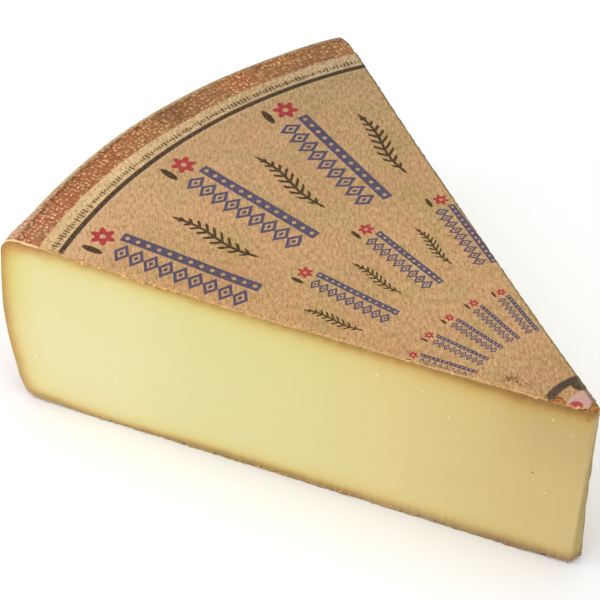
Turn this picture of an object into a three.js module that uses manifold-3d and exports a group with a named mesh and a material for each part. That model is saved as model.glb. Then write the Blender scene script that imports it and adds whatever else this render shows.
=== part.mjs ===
// A wedge of hard mountain cheese: an eighth of a flat round wheel, cut from rim to middle with a long knife.
// The paper label of the wheel's top is still on it, cut through with the cheese and torn near the point.
// Millimetres, +Z up. The wedge lies on its flat base and points towards +X. The origin is the middle of its
// bounding box, at the base.

import * as THREE from "three";
import { mergeVertices } from "three/addons/utils/BufferGeometryUtils.js";
import Module from "manifold-3d";

// Driving dimensions of the wheel
const WHEEL_RADIUS = 300;
const RIND_HEIGHT = 99.4;
const WIDEST_HEIGHT = 65;
const HEEL_TAPER = 12.3;
const HEEL_TAPER_POWER = 1.8;
const HEEL_UPPER_TAPER = 0.5;
const TOP_CORNER_RADIUS = 8;
const BASE_CORNER_REACH = 7;
const BASE_CORNER_HEIGHT = 5;
const TOP_DISH = 2;

// Slow waves of a hand-turned cheese: how far the rind wanders from the true wheel, and over what length
const TOP_WAVE_HEIGHT = 0.45;
const TOP_WAVE_ALONG = 195;
const TOP_WAVE_ACROSS = 170;
const TOP_RIPPLE_HEIGHT = 0.22;
const TOP_RIPPLE_LENGTH = 60;
const TOP_RIPPLE_DIRECTION = 60;
const HEEL_WAVE_HEIGHT = 0.35;
const HEEL_WAVES_ROUND = 11;
const HEEL_WAVE_UP = 214;
const HEEL_RIPPLE_HEIGHT = 0.15;
const HEEL_RIPPLES_ROUND = 27;
const HEEL_RIPPLE_UP = 107;

// Driving dimensions of the cut
const WEDGE_ANGLE = 45;
const TIP_SETBACK_TOP = 5.1;
const TIP_SETBACK_BASE = 7.9;

// Driving dimensions of the paper label
const LABEL_RADIUS = 279.7;
const LABEL_THICKNESS = 0.4;
const LABEL_GAP = 0.3;
const LABEL_TIP_SETBACK = 7.2;

// How finely the round shapes are stepped
const WHEEL_SEGMENTS = 200;
const TOP_RINGS = 20;
const HEEL_RINGS = 12;
const CORNER_STEPS = 5;

// The wheel's axis stands on +X of the origin, so that the wedge's box is centred
const WHEEL_AXIS_X = (WHEEL_RADIUS + TIP_SETBACK_TOP) / 2;

const wasm = await Module();
wasm.setup();

// Closed geometry to a solid that can be cut, and back

function toSolid(geometry) {
  const bare = new THREE.BufferGeometry();
  bare.setAttribute("position", geometry.getAttribute("position").clone());
  if (geometry.index) bare.setIndex(geometry.index.clone());
  const merged = mergeVertices(bare, 1e-3);
  const corners = merged.index.array;
  const triangles = [];
  for (let i = 0; i < corners.length; i += 3) {
    const [a, b, c] = corners.subarray(i, i + 3);
    if (a !== b && b !== c && c !== a) triangles.push(a, b, c);
  }
  const mesh = new wasm.Mesh({
    numProp: 3,
    vertProperties: new Float32Array(merged.getAttribute("position").array),
    triVerts: new Uint32Array(triangles),
  });
  return new wasm.Manifold(mesh);
}

function toGeometry(solid) {
  const mesh = solid.getMesh();
  const geometry = new THREE.BufferGeometry();
  geometry.setAttribute("position", new THREE.BufferAttribute(new Float32Array(mesh.vertProperties), 3));
  geometry.setIndex(new THREE.BufferAttribute(new Uint32Array(mesh.triVerts), 1));
  geometry.computeVertexNormals();
  return geometry;
}

// The wheel's profile. The heel bulges to its widest above half height and draws in towards the base.

function heelRadius(z) {
  if (z < WIDEST_HEIGHT) {
    return WHEEL_RADIUS - HEEL_TAPER * ((WIDEST_HEIGHT - z) / WIDEST_HEIGHT) ** HEEL_TAPER_POWER;
  }
  return WHEEL_RADIUS - HEEL_UPPER_TAPER * ((z - WIDEST_HEIGHT) / (RIND_HEIGHT - WIDEST_HEIGHT)) ** 2;
}

const TOP_CORNER_Z = RIND_HEIGHT - TOP_CORNER_RADIUS;
const FLAT_TOP_RADIUS = heelRadius(TOP_CORNER_Z) - TOP_CORNER_RADIUS;

function topHeight(radius) {
  return RIND_HEIGHT - TOP_DISH * Math.sin((Math.PI * radius) / FLAT_TOP_RADIUS);
}

function wheelProfile() {
  const points = [new THREE.Vector2(0, 0)];
  const baseCornerRadius = heelRadius(BASE_CORNER_HEIGHT) - BASE_CORNER_REACH;
  for (let i = 0; i <= CORNER_STEPS; i += 1) {
    const turn = (Math.PI / 2) * (i / CORNER_STEPS);
    const radius = baseCornerRadius + BASE_CORNER_REACH * Math.sin(turn);
    points.push(new THREE.Vector2(radius, BASE_CORNER_HEIGHT * (1 - Math.cos(turn))));
  }
  for (let i = 1; i < HEEL_RINGS; i += 1) {
    const z = BASE_CORNER_HEIGHT + (TOP_CORNER_Z - BASE_CORNER_HEIGHT) * (i / HEEL_RINGS);
    points.push(new THREE.Vector2(heelRadius(z), z));
  }
  for (let i = 0; i < CORNER_STEPS; i += 1) {
    const turn = (Math.PI / 2) * (i / CORNER_STEPS);
    const radius = FLAT_TOP_RADIUS + TOP_CORNER_RADIUS * Math.cos(turn);
    points.push(new THREE.Vector2(radius, TOP_CORNER_Z + TOP_CORNER_RADIUS * Math.sin(turn)));
  }
  points.push(new THREE.Vector2(FLAT_TOP_RADIUS, RIND_HEIGHT));
  for (let i = TOP_RINGS; i >= 0; i -= 1) {
    const radius = LABEL_RADIUS * (i / TOP_RINGS);
    points.push(new THREE.Vector2(radius, topHeight(radius)));
  }
  return points;
}

function labelProfile() {
  const points = [];
  for (let i = 0; i <= TOP_RINGS; i += 1) {
    const radius = LABEL_RADIUS * (i / TOP_RINGS);
    points.push(new THREE.Vector2(radius, topHeight(radius) + LABEL_GAP));
  }
  for (let i = TOP_RINGS; i >= 0; i -= 1) {
    const radius = LABEL_RADIUS * (i / TOP_RINGS);
    points.push(new THREE.Vector2(radius, topHeight(radius) + LABEL_GAP + LABEL_THICKNESS));
  }
  return points;
}

// The waves go up and down on top and in and out on the heel. The flat base has none.

const TURN = 2 * Math.PI;

function topWave(x, y) {
  const wave = Math.sin((TURN * x) / TOP_WAVE_ALONG + 0.7) * Math.cos((TURN * y) / TOP_WAVE_ACROSS - 0.4);
  const direction = THREE.MathUtils.degToRad(TOP_RIPPLE_DIRECTION);
  const along = x * Math.cos(direction) + y * Math.sin(direction);
  return TOP_WAVE_HEIGHT * wave + TOP_RIPPLE_HEIGHT * Math.sin((TURN * along) / TOP_RIPPLE_LENGTH);
}

function heelWave(turn, z) {
  const wave = Math.sin(HEEL_WAVES_ROUND * turn + (TURN * z) / HEEL_WAVE_UP);
  const ripple = Math.sin(HEEL_RIPPLES_ROUND * turn - (TURN * z) / HEEL_RIPPLE_UP);
  return HEEL_WAVE_HEIGHT * wave + HEEL_RIPPLE_HEIGHT * ripple;
}

function revolve(profile) {
  const halfStep = Math.PI / WHEEL_SEGMENTS;
  const geometry = new THREE.LatheGeometry(profile, WHEEL_SEGMENTS, halfStep);
  geometry.rotateX(Math.PI / 2);
  const position = geometry.getAttribute("position");
  for (let i = 0; i < position.count; i += 1) {
    const x = position.getX(i);
    const y = position.getY(i);
    const z = position.getZ(i);
    const radius = Math.hypot(x, y);
    const onTop = THREE.MathUtils.smoothstep(z, WIDEST_HEIGHT, TOP_CORNER_Z);
    const atHeel = THREE.MathUtils.smoothstep(radius, LABEL_RADIUS, WHEEL_RADIUS);
    const grow = 1 + (heelWave(Math.atan2(y, x), z) * atHeel) / WHEEL_RADIUS;
    position.setXYZ(i, x * grow, y * grow, z + topWave(x, y) * onTop);
  }
  return toSolid(geometry);
}

// The knife's cuts: two upright planes that meet at the wheel's axis, and the blunted point

const KNIFE_REACH = WHEEL_RADIUS * 1.2;
const KNIFE_OVERCUT = 10;
const POINT_CUT_SIZE = 60;

function knifeWedge() {
  const half = THREE.MathUtils.degToRad(WEDGE_ANGLE / 2);
  const outline = new THREE.Shape([
    new THREE.Vector2(0, 0),
    new THREE.Vector2(-KNIFE_REACH * Math.cos(half), KNIFE_REACH * Math.sin(half)),
    new THREE.Vector2(-KNIFE_REACH * Math.cos(half), -KNIFE_REACH * Math.sin(half)),
  ]);
  const depth = RIND_HEIGHT + 2 * KNIFE_OVERCUT;
  const geometry = new THREE.ExtrudeGeometry(outline, { depth, bevelEnabled: false });
  geometry.translate(0, 0, -KNIFE_OVERCUT);
  return toSolid(geometry);
}

function bluntedPoint(setbackTop, setbackBase) {
  const lean = Math.atan2(setbackBase - setbackTop, RIND_HEIGHT);
  const geometry = new THREE.BoxGeometry(POINT_CUT_SIZE, POINT_CUT_SIZE, 2 * RIND_HEIGHT);
  geometry.translate(POINT_CUT_SIZE / 2, 0, 0);
  geometry.rotateY(lean);
  geometry.translate(-(setbackTop + setbackBase) / 2, 0, RIND_HEIGHT / 2);
  return toSolid(geometry);
}

// Where the paper is torn off: a patch on the near cut behind the printed centre, and the near side of the
// point. The places are millimetres from the wheel's axis, seen from above.

const TORN_PATCH = [
  [-27, -13], [-24.6, -8.4], [-24.2, -5.6], [-22.8, -4.2], [-21.2, -4.8], [-19.8, -5.4],
  [-18.2, -5.6], [-17.4, -6.4], [-16.4, -8], [-18, -13],
];
const TORN_POINT = [
  [-12.6, -8], [-12, -4.6], [-10.4, -3.9], [-9.6, -2.6], [-8.4, -2.2], [-7.6, -0.8],
  [-6.6, -0.4], [0, 0], [0, -8],
];

function tear(points) {
  const outline = new THREE.Shape(points.map(([x, y]) => new THREE.Vector2(x, y)));
  const geometry = new THREE.ExtrudeGeometry(outline, { depth: 2 * KNIFE_OVERCUT, bevelEnabled: false });
  geometry.translate(0, 0, RIND_HEIGHT - KNIFE_OVERCUT);
  return toSolid(geometry);
}

// The two pieces

function piece(name, solid, material) {
  const mesh = new THREE.Mesh(toGeometry(solid), material);
  mesh.name = name;
  return mesh;
}

function makeCheese() {
  const solid = revolve(wheelProfile())
    .intersect(knifeWedge())
    .subtract(bluntedPoint(TIP_SETBACK_TOP, TIP_SETBACK_BASE));
  const paste = new THREE.MeshStandardMaterial({ color: "#e6dca0", roughness: 0.5, metalness: 0 });
  return piece("cheese", solid, paste);
}

function makeLabel() {
  const solid = revolve(labelProfile())
    .intersect(knifeWedge())
    .subtract(bluntedPoint(LABEL_TIP_SETBACK, LABEL_TIP_SETBACK))
    .subtract(tear(TORN_PATCH))
    .subtract(tear(TORN_POINT));
  const paper = new THREE.MeshStandardMaterial({ color: "#cfa778", roughness: 0.85, metalness: 0 });
  return piece("label", solid, paper);
}

const wedge = new THREE.Group();
wedge.add(makeCheese(), makeLabel());
wedge.position.x = WHEEL_AXIS_X;

export default wedge;
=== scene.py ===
"""A wedge of hard mountain cheese, an eighth of a round wheel, with the printed label of the wheel's top."""
import math
import random

import bmesh
import bpy
from mathutils import Matrix, Vector, noise


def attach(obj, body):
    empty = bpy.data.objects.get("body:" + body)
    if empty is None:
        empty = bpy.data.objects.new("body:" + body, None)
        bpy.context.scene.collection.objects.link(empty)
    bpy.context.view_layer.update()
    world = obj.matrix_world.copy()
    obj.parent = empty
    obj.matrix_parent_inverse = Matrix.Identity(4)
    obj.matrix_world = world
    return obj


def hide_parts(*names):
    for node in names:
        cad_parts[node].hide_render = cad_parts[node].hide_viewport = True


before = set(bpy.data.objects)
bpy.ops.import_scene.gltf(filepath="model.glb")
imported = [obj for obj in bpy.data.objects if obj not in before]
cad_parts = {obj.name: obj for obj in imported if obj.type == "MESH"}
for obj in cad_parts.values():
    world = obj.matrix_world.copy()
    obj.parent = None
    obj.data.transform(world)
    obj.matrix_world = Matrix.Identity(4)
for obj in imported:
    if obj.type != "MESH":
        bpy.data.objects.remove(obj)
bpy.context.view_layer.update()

# The wheel, in millimetres from its own axis and the base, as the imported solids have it
WHEEL_RADIUS = 300.0
RIND_HEIGHT = 99.4
WIDEST_HEIGHT = 65.0
HEEL_TAPER = 12.3
HEEL_TAPER_POWER = 1.8
HEEL_UPPER_TAPER = 0.5
TOP_CORNER_RADIUS = 8.0
BASE_CORNER_REACH = 7.0
BASE_CORNER_HEIGHT = 5.0
TOP_DISH = 2.0
TOP_WAVE_HEIGHT, TOP_WAVE_ALONG, TOP_WAVE_ACROSS = 0.45, 195.0, 170.0
TOP_RIPPLE_HEIGHT, TOP_RIPPLE_LENGTH, TOP_RIPPLE_DIRECTION = 0.22, 60.0, math.radians(60)
HEEL_WAVE_HEIGHT, HEEL_WAVES_ROUND, HEEL_WAVE_UP = 0.35, 11, 214.0
HEEL_RIPPLE_HEIGHT, HEEL_RIPPLES_ROUND, HEEL_RIPPLE_UP = 0.15, 27, 107.0
FLAT_SPOT_DEPTH = 2.0  # the upper heel is pressed in a little, from close to the near cut on
FLAT_SPOT = tuple(math.radians(degrees) for degrees in (0.8, 5.0, 12.0, 25.5))
FAR_CORNER_CHIP = 2.6  # the far cut's corner at the heel's top is rubbed off
HEEL_BASE_RISE, POINT_BASE_RISE = 1.5, 2.2  # the base is worn round at both ends
LOWER_HEEL_BULGE = 1.0
POINT_FAR_REACH = 1.2  # the blunt point is wider at its base, on the far side

# The cut: the wedge points towards +X, and the near cut faces the viewer
WEDGE_ANGLE = math.radians(45)
NEAR_TURN = math.pi + WEDGE_ANGLE / 2
FAR_TURN = math.pi - WEDGE_ANGLE / 2
TIP_SETBACK_TOP, TIP_SETBACK_BASE = 5.1, 7.9

# The paper label
LABEL_RADIUS = 279.7
LABEL_TIP_SETBACK = 7.2
LABEL_THICKNESS = 0.45
RING_INNER, RING_OUTER = 267.75, 270.4

MM = 0.001
WHEEL_AXIS = Vector(((WHEEL_RADIUS + TIP_SETBACK_TOP) / 2 * MM, 0.0, 0.0))
near_along = Vector((math.cos(NEAR_TURN), math.sin(NEAR_TURN), 0.0))
near_normal = Vector((-math.sin(NEAR_TURN), math.cos(NEAR_TURN), 0.0))
far_along = Vector((math.cos(FAR_TURN), math.sin(FAR_TURN), 0.0))
far_normal = Vector((math.sin(FAR_TURN), -math.cos(FAR_TURN), 0.0))
SKIN_INSET = 0.25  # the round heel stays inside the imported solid's flats by this much


def linear(hex_colour):
    """An sRGB hex colour as linear RGBA."""
    channels = [int(hex_colour[i:i + 2], 16) / 255 for i in (1, 3, 5)]
    return [c / 12.92 if c <= 0.04045 else ((c + 0.055) / 1.055) ** 2.4 for c in channels] + [1.0]


def smoothstep(value, low, high):
    t = min(max((value - low) / (high - low), 0.0), 1.0)
    return t * t * (3 - 2 * t)


# The wheel's shape


def heel_radius(z):
    if z < WIDEST_HEIGHT:
        return WHEEL_RADIUS - HEEL_TAPER * ((WIDEST_HEIGHT - z) / WIDEST_HEIGHT) ** HEEL_TAPER_POWER
    return WHEEL_RADIUS - HEEL_UPPER_TAPER * ((z - WIDEST_HEIGHT) / (RIND_HEIGHT - WIDEST_HEIGHT)) ** 2


TOP_CORNER_Z = RIND_HEIGHT - TOP_CORNER_RADIUS
FLAT_TOP_RADIUS = heel_radius(TOP_CORNER_Z) - TOP_CORNER_RADIUS
BASE_CORNER_START = heel_radius(BASE_CORNER_HEIGHT) - BASE_CORNER_REACH


def top_height(radius):
    return RIND_HEIGHT - TOP_DISH * math.sin(math.pi * radius / FLAT_TOP_RADIUS)


def top_wave(x, y):
    wave = math.sin(math.tau * x / TOP_WAVE_ALONG + 0.7) * math.cos(math.tau * y / TOP_WAVE_ACROSS - 0.4)
    along = x * math.cos(TOP_RIPPLE_DIRECTION) + y * math.sin(TOP_RIPPLE_DIRECTION)
    return TOP_WAVE_HEIGHT * wave + TOP_RIPPLE_HEIGHT * math.sin(math.tau * along / TOP_RIPPLE_LENGTH)


def heel_wave(turn, z):
    wave = math.sin(HEEL_WAVES_ROUND * turn + math.tau * z / HEEL_WAVE_UP)
    ripple = math.sin(HEEL_RIPPLES_ROUND * turn - math.tau * z / HEEL_RIPPLE_UP)
    return HEEL_WAVE_HEIGHT * wave + HEEL_RIPPLE_HEIGHT * ripple


def steps(start, end, count):
    """count values from start up to but not including end, evenly spaced."""
    return [start + (end - start) * i / count for i in range(count)]


# The camera stands where the photograph's did, worked out from the cuts, the ring and the label's edge

CAMERA_FROM_AXIS = Vector((0.6010, -0.8343, 1.0968))
LOOK_HEADING = Vector((-0.68806, 0.72566, 0.0))
LOOK_DOWN = math.radians(42.466)
CAMERA_ROLL = math.radians(1.891)
SENSOR_WIDTH = 36.0
FOCAL_PIXELS = 3208.4
PICTURE_WIDTH = 600


def make_camera():
    data = bpy.data.cameras.new("camera")
    data.sensor_width = SENSOR_WIDTH
    data.lens = SENSOR_WIDTH * FOCAL_PIXELS / PICTURE_WIDTH
    data.clip_start, data.clip_end = 0.05, 20.0
    camera = bpy.data.objects.new("camera", data)
    forward = LOOK_HEADING.normalized() * math.cos(LOOK_DOWN) - Vector((0, 0, math.sin(LOOK_DOWN)))
    level = forward.cross(Vector((0, 0, 1))).normalized()
    upright = level.cross(forward)
    right = level * math.cos(CAMERA_ROLL) + upright * math.sin(CAMERA_ROLL)
    up = upright * math.cos(CAMERA_ROLL) - level * math.sin(CAMERA_ROLL)
    turn = Matrix((right, up, -forward)).transposed()
    camera.matrix_world = Matrix.Translation(WHEEL_AXIS + CAMERA_FROM_AXIS) @ turn.to_4x4()
    bpy.context.scene.collection.objects.link(camera)
    bpy.context.scene.camera = camera


make_camera()


# Nodes


def add(tree, kind, inputs=(), out=0, stops=(), **settings):
    """Adds a node with its settings, links or sets its inputs, in order or by key, and gives one output."""
    made = tree.nodes.new(kind)
    for name, value in settings.items():
        setattr(made, name, value)
    for key, value in inputs.items() if isinstance(inputs, dict) else enumerate(inputs):
        if isinstance(value, bpy.types.NodeSocket):
            tree.links.new(value, made.inputs[key])
        else:
            made.inputs[key].default_value = value
    if stops:
        elements = made.color_ramp.elements
        while len(elements) < len(stops):
            elements.new(1.0)
        for element, (position, colour) in zip(elements, stops):
            element.position = position
            element.color = linear(colour)
    return made.outputs[out] if made.outputs else None


MATH = "ShaderNodeMath"
VECTOR = "ShaderNodeVectorMath"
RANGE = "ShaderNodeMapRange"
NOISE = "ShaderNodeTexNoise"
CELLS = "ShaderNodeTexVoronoi"
RAMP = "ShaderNodeValToRGB"
MIX = "ShaderNodeMix"


# What the materials share. Noise scales are per millimetre, so 0.5 gives grains about 2 mm across.


def new_material(name):
    material = bpy.data.materials.new(name)
    material.use_nodes = True
    material.node_tree.nodes.clear()
    return material, material.node_tree


def end_material(tree, inputs, lift=None, strength=1.0):
    """Ends a material with its shader, with any lift in millimetres as its bump."""
    if lift is not None:
        inputs["Normal"] = add(tree, "ShaderNodeBump", {"Height": lift, "Distance": MM, "Strength": strength})
    shader = add(tree, "ShaderNodeBsdfPrincipled", inputs)
    add(tree, "ShaderNodeOutputMaterial", {"Surface": shader})


def wheel_place(tree):
    """Where a point is, in millimetres from the wheel's axis, with its turn from the near cut."""
    spot = add(tree, "ShaderNodeTexCoord", out="Object")
    spot = add(tree, VECTOR, [spot, WHEEL_AXIS], operation="SUBTRACT")
    spot = add(tree, VECTOR, {0: spot, "Scale": 1 / MM}, operation="SCALE")
    flat = add(tree, VECTOR, [spot, (1.0, 1.0, 0.0)], operation="MULTIPLY")
    radius = add(tree, VECTOR, [flat], out="Value", operation="LENGTH")
    x, y, z = add(tree, "ShaderNodeSeparateXYZ", [spot]).node.outputs
    back_x = add(tree, MATH, [x, -1.0], operation="MULTIPLY")
    back_y = add(tree, MATH, [y, -1.0], operation="MULTIPLY")
    turn = add(tree, MATH, [back_y, back_x], operation="ARCTAN2")
    turn = add(tree, MATH, [WEDGE_ANGLE / 2, turn], operation="SUBTRACT")
    degrees = add(tree, MATH, [turn], operation="DEGREES")
    return {"spot": spot, "flat": flat, "radius": radius, "turn": turn, "degrees": degrees,
            "x": x, "y": y, "z": z}


def from_cut(tree, place, normal):
    """Millimetres out from a cut, so less than 0 inside the cheese."""
    return add(tree, VECTOR, [place["flat"], normal], out="Value", operation="DOT_PRODUCT")


def apart(tree, value, middle):
    """How far a value is from a middle one, either way."""
    gap = add(tree, MATH, [value, middle], operation="SUBTRACT")
    return add(tree, MATH, [gap], operation="ABSOLUTE")


def overlap(tree, *fades):
    """How strongly several fades hold at once. Each is a value, where its fade starts and ends, and its
    strength there, which is 0 and 1 if not given. A bare value counts as it is."""
    whole = None
    for fade in fades:
        if isinstance(fade, tuple):
            value, start, end, *strengths = fade
            fade = add(tree, RANGE, [value, start, end, *(strengths or (0.0, 1.0))])
        whole = fade if whole is None else add(tree, MATH, [whole, fade], operation="MULTIPLY")
    return whole


def combined(tree, *masks):
    """The strongest of several masks."""
    whole = masks[0]
    for mask in masks[1:]:
        whole = add(tree, MATH, [whole, mask], operation="MAXIMUM")
    return whole


def blotches(tree, spot, scale, detail, roughness, *fade):
    """Uneven blotches: a fade over the strength of a noise."""
    strength = add(tree, NOISE, {"Vector": spot, "Scale": scale, "Detail": detail, "Roughness": roughness})
    return overlap(tree, (strength, *fade))


def overlaid(tree, colour, *tints, blend="MIX"):
    """A colour with tints laid over it one after the other, each a share and a colour. A Mix node's colours
    are its inputs 6 and 7 and its output 2."""
    for share, tint in tints:
        if isinstance(tint, str):
            tint = linear(tint)
        colour = add(tree, MIX, {0: share, 6: colour, 7: tint}, out=2, data_type="RGBA", blend_type=blend)
    return colour


# The paste

# Millimetres by which the base's brown reaches up, by radius: higher at the heel and in the middle of the cut
BASE_REACH = ((235.0, 185.0, 1.8), (130.0, 60.0, -0.2), (250.0, 288.0, 3.0))
# Millimetres added to the depth under the top, by radius: its brown reaches deeper near the wheel's middle
TOP_REACH = ((100.0, 60.0, -1.6), (150.0, 190.0, 0.5), (200.0, 240.0, 0.6), (28.0, 16.0, 1.0),
             (262.0, 284.0, -0.9))
BROWN_DEPTH = 20.0  # the paste is at its palest this far from the rind


def depth_under_rind(tree, place):
    """Millimetres from the nearest rind, inside the paste, with the meeting corners rounded off."""
    below = add(tree, MATH, [WIDEST_HEIGHT, place["z"]], operation="SUBTRACT")
    below = add(tree, MATH, [below, WIDEST_HEIGHT], operation="DIVIDE")
    below = add(tree, MATH, [below, 0.0], operation="MAXIMUM")
    below = add(tree, MATH, [below, HEEL_TAPER_POWER], operation="POWER")
    heel = add(tree, MATH, [below, -HEEL_TAPER, WHEEL_RADIUS], operation="MULTIPLY_ADD")
    from_heel = add(tree, MATH, [heel, place["radius"]], operation="SUBTRACT")
    dish = add(tree, MATH, [place["radius"], math.pi / FLAT_TOP_RADIUS], operation="MULTIPLY")
    dish = add(tree, MATH, [dish], operation="SINE")
    top = add(tree, MATH, [dish, -TOP_DISH, RIND_HEIGHT], operation="MULTIPLY_ADD")
    from_top = add(tree, MATH, [top, place["z"]], operation="SUBTRACT")
    nearest = add(tree, MATH, [from_heel, from_top, 14.0], operation="SMOOTH_MIN")
    from_base = place["z"]
    for start, end, reach in BASE_REACH:
        rise = add(tree, RANGE, [place["radius"], start, end, 0.0, reach], interpolation_type="SMOOTHSTEP")
        from_base = add(tree, MATH, [from_base, rise], operation="SUBTRACT")
    from_base = add(tree, MATH, [from_base, 1.6, -1.5], operation="MULTIPLY_ADD")
    from_base = add(tree, MATH, [from_base, 0.2], operation="MAXIMUM")
    return add(tree, MATH, [nearest, from_base, 11.0], operation="SMOOTH_MIN")


def paste_material():
    """Pressed hard-cheese paste, cut with a long knife: waxy, a little translucent, pale in the middle and
    golden brown under the rind, with faint upright knife streaks and brown rind smeared up from the base."""
    material, tree = new_material("pressed_cheese_paste")
    place = wheel_place(tree)
    spot, radius, z = place["spot"], place["radius"], place["z"]
    ripe = add(tree, RANGE, [radius, 20.0, 230.0, 1.0, 0.0], interpolation_type="SMOOTHSTEP")
    upper = overlap(tree, (z, 45.0, 75.0))
    knife_place = add(tree, VECTOR, [spot, (1.0, 1.0, 0.05)], operation="MULTIPLY")
    streaks = add(tree, NOISE, {"Vector": knife_place, "Scale": 0.33, "Detail": 5.0, "Roughness": 0.68})
    depth = depth_under_rind(tree, place)
    cloud = blotches(tree, spot, 0.11, 3.0, 0.6, 0.3, 0.7, -0.7, 0.7)
    depth = add(tree, MATH, [depth, cloud], operation="ADD")
    for start, end, reach in TOP_REACH:
        deeper = overlap(tree, (radius, start, end, 0.0, reach))
        depth = add(tree, MATH, [deeper, upper, depth], operation="MULTIPLY_ADD")
    smear = add(tree, NOISE, {"Vector": knife_place, "Scale": 0.6, "Detail": 4.0, "Roughness": 0.7})
    smear = add(tree, MATH, [smear, 0.5], operation="SUBTRACT")
    smear = overlap(tree, smear, (z, 2.0, 20.0, 4.0, 0.0), ripe)
    depth = add(tree, MATH, [smear, 3.0, depth], operation="MULTIPLY_ADD")
    share = add(tree, MATH, [depth, BROWN_DEPTH], operation="DIVIDE")
    colour = add(tree, RAMP, [share], stops=(
        (0.0, "#ad8b50"), (0.04, "#b99556"), (0.1, "#cba560"), (0.18, "#d9ba71"),
        (0.28, "#e3cd87"), (0.42, "#e8d998"), (0.65, "#eadea3"), (1.0, "#ebe1aa")))
    # Deeper in colour towards the wheel's middle, partly as riper paste and partly as painted shade across
    # the cut;
    # golden there right under the top rind, and orange in the heel's top corner
    outward = add(tree, MATH, [radius, WHEEL_RADIUS], operation="DIVIDE")
    riper_and_shaded = add(tree, RAMP, [outward], stops=(
        (0.04, "#e7d4b9"), (0.12, "#ead7bd"), (0.2, "#eedfca"), (0.333, "#f7ebda"), (0.5, "#f7f6e6"),
        (0.667, "#f9faef"), (0.8, "#ffffff")))
    golden = overlap(tree, (share, 0.0, 0.18, 1.0, 0.0), upper, ripe)
    corner = overlap(tree, (share, 0.38, 0.18), (radius, 277.0, 290.0), (z, 86.0, 94.0))
    by_point = overlap(tree, (radius, 60.0, 30.0), upper)
    by_heel = overlap(tree, (radius, 283.0, 291.0), upper)
    colour = overlaid(tree, colour, (1.0, riper_and_shaded), (upper, "#fdfdf6"), (golden, "#fbffd0"),
                      (corner, "#fde6e3"), (by_point, "#f5f2f8"), (by_heel, "#fbfce9"), blend="MULTIPLY")
    # Greyer along the base near the point, browner right at the base, and paler over the lower third as
    # painted light bounced up from the floor
    grey = add(tree, RAMP, [outward], stops=(
        (0.04, "#786648"), (0.14, "#84714c"), (0.2, "#a8946a"), (0.32, "#cbb888")))
    greyer = overlap(tree, (z, 9.0, 2.0, 0.0, 0.4), (radius, 130.0, 90.0))
    colour = overlaid(tree, colour, (greyer, grey))
    browner = overlap(tree, (z, 4.0, 1.5), (radius, 240.0, 190.0))
    colour = overlaid(tree, colour, (browner, "#f4e9d4"), blend="MULTIPLY")
    lit_paler = overlap(tree, (z, 34.0, 12.0, 0.0, 0.14))
    # A thin dark line where the knife left the rind, and its streaks
    line = overlap(tree, (depth, 0.2, -1.2), streaks, (z, 3.0, 2.0))
    streak = overlap(tree, (streaks, 0.36, 0.7, 0.0, 0.07), (ripe, 0.05, 0.8, 0.25, 1.0))
    # Painted shade on the blunt point, which faces away from the lamps: a strip that narrows upwards to its
    # far edge
    up = add(tree, MATH, [z, RIND_HEIGHT], operation="DIVIDE")
    lean = TIP_SETBACK_BASE - TIP_SETBACK_TOP
    point = add(tree, MATH, [up, lean, -TIP_SETBACK_BASE], operation="MULTIPLY_ADD")
    point = add(tree, MATH, [point, place["x"]], operation="SUBTRACT")
    point = overlap(tree, (point, 1.3, 0.9))
    strip = add(tree, MATH, [up, up], operation="MULTIPLY")
    strip = add(tree, MATH, [strip, -4.9, place["y"]], operation="MULTIPLY_ADD")
    strip = overlap(tree, (strip, -3.6, -1.4), point, (z, 12.0, 85.0, 0.46, 0.86))
    # Darker still along the far cut on the point: painted shade too
    wear_and_shade = overlap(tree, (from_cut(tree, place, far_normal), -1.1, -0.2, 0.0, 1.2), streaks, point)
    colour = overlaid(tree, colour, (lit_paler, "#f2e8b0"), (line, "#735332"), (streak, "#f2e7bc"),
                      (strip, "#8e7830"), (wear_and_shade, "#655434"))
    grain = add(tree, NOISE, {"Vector": spot, "Scale": 0.8, "Detail": 5.0, "Roughness": 0.7})
    lift = add(tree, MATH, [streaks, 0.12], operation="MULTIPLY")
    lift = add(tree, MATH, [grain, 0.05, lift], operation="MULTIPLY_ADD")
    end_material(tree, {
        "Base Color": colour, "Roughness": overlap(tree, (streaks, 0.3, 0.7, 0.42, 0.56)), "IOR": 1.45,
        "Specular IOR Level": 0.35, "Subsurface Weight": 0.35, "Subsurface Radius": (1.0, 0.62, 0.28),
        "Subsurface Scale": 0.004}, lift, 0.8)
    return material


# The rind

RIND_BEAD_PITCH, LABEL_BEAD_PITCH = 2.45, 1.6
THREAD_DIRECTION = math.radians(-46)
SKIN_UV = "skin"
BLOOM_EDGE = 291.0  # the radius in the top corner where the heel's grey bloom ends


def cloth_imprint(tree, spot, spacing, size, faint, strong):
    """The mark of the pressing cloth's weave: how far inside one of its beads a point is, and how strong that
    bead is. The beads fill size of the spacing, and rubbing leaves between faint and strong of them."""
    drift = add(tree, NOISE, {"Vector": spot, "Scale": 0.16, "Detail": 3.0}, out="Color")
    drift = add(tree, VECTOR, [drift, (4.5, 4.5, 0.0), spot], operation="MULTIPLY_ADD")
    middle = add(tree, CELLS, {"Vector": drift, "Scale": 1 / spacing, "Randomness": 0.62}, out="Distance",
                 voronoi_dimensions="2D")
    strength = add(tree, "ShaderNodeSeparateXYZ", [middle.node.outputs["Color"]], out="X")
    bead = add(tree, RANGE, [middle, size / 4, size, 1.0, 0.0], interpolation_type="SMOOTHSTEP")
    rubbed = blotches(tree, spot, 0.9, 3.0, 0.65, 0.36, 0.64, faint, strong)
    return overlap(tree, bead, rubbed), strength


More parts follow.
